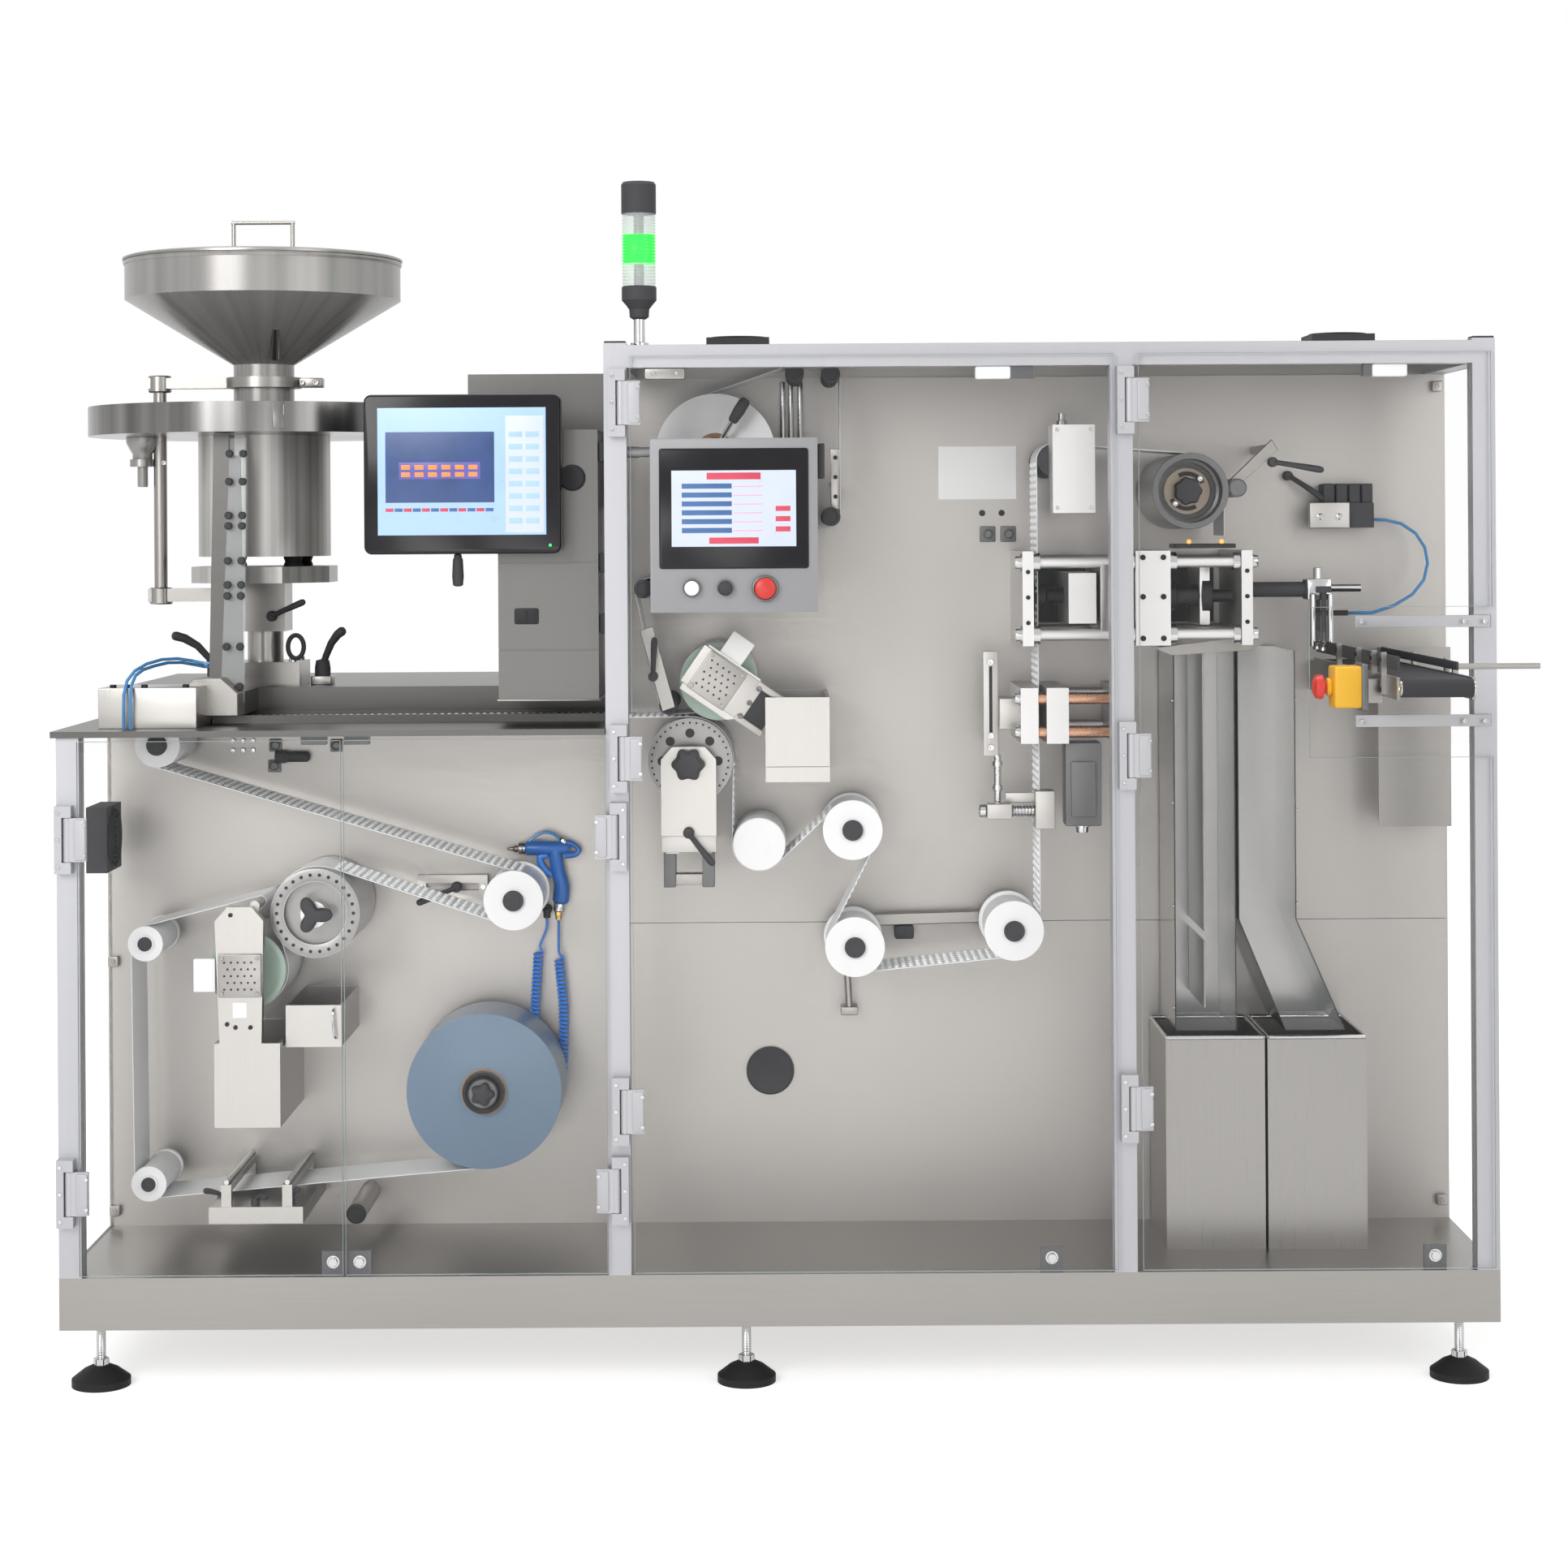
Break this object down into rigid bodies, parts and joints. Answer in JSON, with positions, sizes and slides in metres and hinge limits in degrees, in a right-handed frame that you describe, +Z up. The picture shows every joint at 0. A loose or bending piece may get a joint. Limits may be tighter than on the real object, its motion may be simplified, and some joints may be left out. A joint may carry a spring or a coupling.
{
  "type": "blister packing machine",
  "caption": "Rotary blister packing machine with a tablet hopper and feeder, forming and sealing drums behind clear hinged doors, a punch, waste bins and an outfeed belt.",
  "frame": {"origin": "middle of the box's underside, on the floor", "axes": "+X along the machine to the outfeed end, +Y to the back, +Z up"},
  "size_m": [2.592, 1.358, 2.137],
  "materials": {
    "stainless_steel": "fine brushed",
    "plate_steel": "fine satin",
    "machined_steel": "machined",
    "frame_aluminium": "anodised satin",
    "hinge_metal": "satin grey",
    "rubber_black": "matte",
    "black_plastic": "fine grained",
    "grey_housing": "satin",
    "white_plastic": "smooth",
    "clear_sheet": "clear acrylic",
    "blue_film": "wound film",
    "formed_film": "clear film",
    "paper_foil": "coated foil",
    "blue_plastic": "moulded",
    "belt_rubber": "smooth belt",
    "chrome_steel": "polished"
  },
  "bodies": {
    "root": {"base_frame": "stainless_steel", "levelling_feet": "rubber_black", "back_plates": "plate_steel", "rear_housing": "stainless_steel", "cover_panels": "stainless_steel", "frame_posts": "frame_aluminium", "top_rails": "frame_aluminium", "cooling_fans": "black_plastic", "clear_guards": "clear_sheet", "feeding_table": "stainless_steel", "hinge_blocks": "hinge_metal", "door_catches": "grey_housing", "hopper": "stainless_steel", "hopper_lid": "stainless_steel", "feeder_stand": "machined_steel", "feeder_bowl": "stainless_steel", "vibrator_drum": "stainless_steel", "feed_chute": "machined_steel", "inspection_hood": "stainless_steel", "monitor": "black_plastic", "control_panel": "grey_housing", "stack_light": "black_plastic", "roller_shafts": "chrome_steel", "forming_heater": "machined_steel", "forming_tray": "stainless_steel", "splice_table": "machined_steel", "tension_bar": "machined_steel", "air_gun": "blue_plastic", "coil_hose": "blue_plastic", "air_tubes": "blue_plastic", "film_web": "formed_film", "lid_foil": "paper_foil", "foil_guides": "black_plastic", "seal_heater": "machined_steel", "punch_station": "machined_steel", "suction_arm": "black_plastic", "waste_bins": "stainless_steel", "waste_chute_left": "stainless_steel", "waste_chute_right": "stainless_steel", "outfeed_conveyor": "stainless_steel", "conveyor_belt": "belt_rubber"},
    "left_door_body": {"left_door": "clear_sheet"},
    "table_door_body": {"table_door": "clear_sheet"},
    "middle_door_body": {"middle_door": "clear_sheet"},
    "right_door_body": {"right_door": "clear_sheet"},
    "inlet_roller_body": {"inlet_roller": "white_plastic"},
    "return_roller_body": {"return_roller": "white_plastic"},
    "upper_film_roller_body": {"upper_film_roller": "white_plastic"},
    "lower_film_roller_body": {"lower_film_roller": "white_plastic"},
    "forming_drum_body": {"forming_drum": "machined_steel"},
    "heater_roll_body": {"heater_roll": "machined_steel"},
    "film_reel_body": {"film_reel": "blue_film"},
    "sealing_drum_body": {"sealing_drum": "machined_steel"},
    "seal_roll_body": {"seal_roll": "machined_steel"},
    "cooling_roller_body": {"cooling_roller": "white_plastic"},
    "exit_roller_body": {"exit_roller": "white_plastic"},
    "dancer_roller_body": {"dancer_roller": "white_plastic"},
    "lift_roller_body": {"lift_roller": "white_plastic"},
    "foil_reel_body": {"foil_reel": "paper_foil"},
    "index_roller_body": {"index_roller": "machined_steel"}
  },
  "joints": [
    {"name": "left_door_hinge", "type": "hinge", "parent": "root", "child": "left_door_body", "pos_m": [-1.233, -0.258, 0.7], "axis": [0, 0, -1], "range_deg": [0, 90]},
    {"name": "table_door_hinge", "type": "hinge", "parent": "root", "child": "table_door_body", "pos_m": [-0.272, -0.258, 0.7], "axis": [0, 0, 1], "range_deg": [0, 90]},
    {"name": "middle_door_hinge", "type": "hinge", "parent": "root", "child": "middle_door_body", "pos_m": [-0.256, -0.258, 0.7], "axis": [0, 0, -1], "range_deg": [0, 90]},
    {"name": "right_door_hinge", "type": "hinge", "parent": "root", "child": "right_door_body", "pos_m": [0.638, -0.258, 0.7], "axis": [0, 0, -1], "range_deg": [0, 90]},
    {"name": "inlet_roller_spin", "type": "hinge", "parent": "root", "child": "inlet_roller_body", "pos_m": [-1.118, 0.056, 1.129], "axis": [0, 1, 0], "continuous": true},
    {"name": "return_roller_spin", "type": "hinge", "parent": "root", "child": "return_roller_body", "pos_m": [-0.469, 0.056, 0.841], "axis": [0, 1, 0], "continuous": true},
    {"name": "upper_film_roller_spin", "type": "hinge", "parent": "root", "child": "upper_film_roller_body", "pos_m": [-1.142, 0.056, 0.766], "axis": [0, 1, 0], "continuous": true},
    {"name": "lower_film_roller_spin", "type": "hinge", "parent": "root", "child": "lower_film_roller_body", "pos_m": [-1.138, 0.056, 0.327], "axis": [0, 1, 0], "continuous": true},
    {"name": "forming_drum_spin", "type": "hinge", "parent": "root", "child": "forming_drum_body", "pos_m": [-0.829, 0.056, 0.822], "axis": [0, 1, 0], "continuous": true},
    {"name": "heater_roll_spin", "type": "hinge", "parent": "root", "child": "heater_roll_body", "pos_m": [-0.956, 0.056, 0.717], "axis": [0, 1, 0], "continuous": true},
    {"name": "film_reel_spin", "type": "hinge", "parent": "root", "child": "film_reel_body", "pos_m": [-0.526, 0.056, 0.49], "axis": [0, 1, 0], "continuous": true},
    {"name": "sealing_drum_spin", "type": "hinge", "parent": "root", "child": "sealing_drum_body", "pos_m": [-0.144, 0.056, 1.095], "axis": [0, 1, 0], "continuous": true},
    {"name": "seal_roll_spin", "type": "hinge", "parent": "root", "child": "seal_roll_body", "pos_m": [-0.091, 0.056, 1.24], "axis": [0, 1, 0], "continuous": true},
    {"name": "cooling_roller_spin", "type": "hinge", "parent": "root", "child": "cooling_roller_body", "pos_m": [-0.019, 0.056, 0.941], "axis": [0, 1, 0], "continuous": true},
    {"name": "exit_roller_spin", "type": "hinge", "parent": "root", "child": "exit_roller_body", "pos_m": [0.152, 0.056, 0.966], "axis": [0, 1, 0], "continuous": true},
    {"name": "dancer_roller_spin", "type": "hinge", "parent": "root", "child": "dancer_roller_body", "pos_m": [0.155, 0.056, 0.752], "axis": [0, 1, 0], "continuous": true},
    {"name": "lift_roller_spin", "type": "hinge", "parent": "root", "child": "lift_roller_body", "pos_m": [0.446, 0.056, 0.78], "axis": [0, 1, 0], "continuous": true},
    {"name": "foil_reel_spin", "type": "hinge", "parent": "root", "child": "foil_reel_body", "pos_m": [-0.095, 0.056, 1.656], "axis": [0, 1, 0], "continuous": true},
    {"name": "index_roller_spin", "type": "hinge", "parent": "root", "child": "index_roller_body", "pos_m": [0.767, 0.056, 1.582], "axis": [0, 1, 0], "continuous": true}
  ]
}
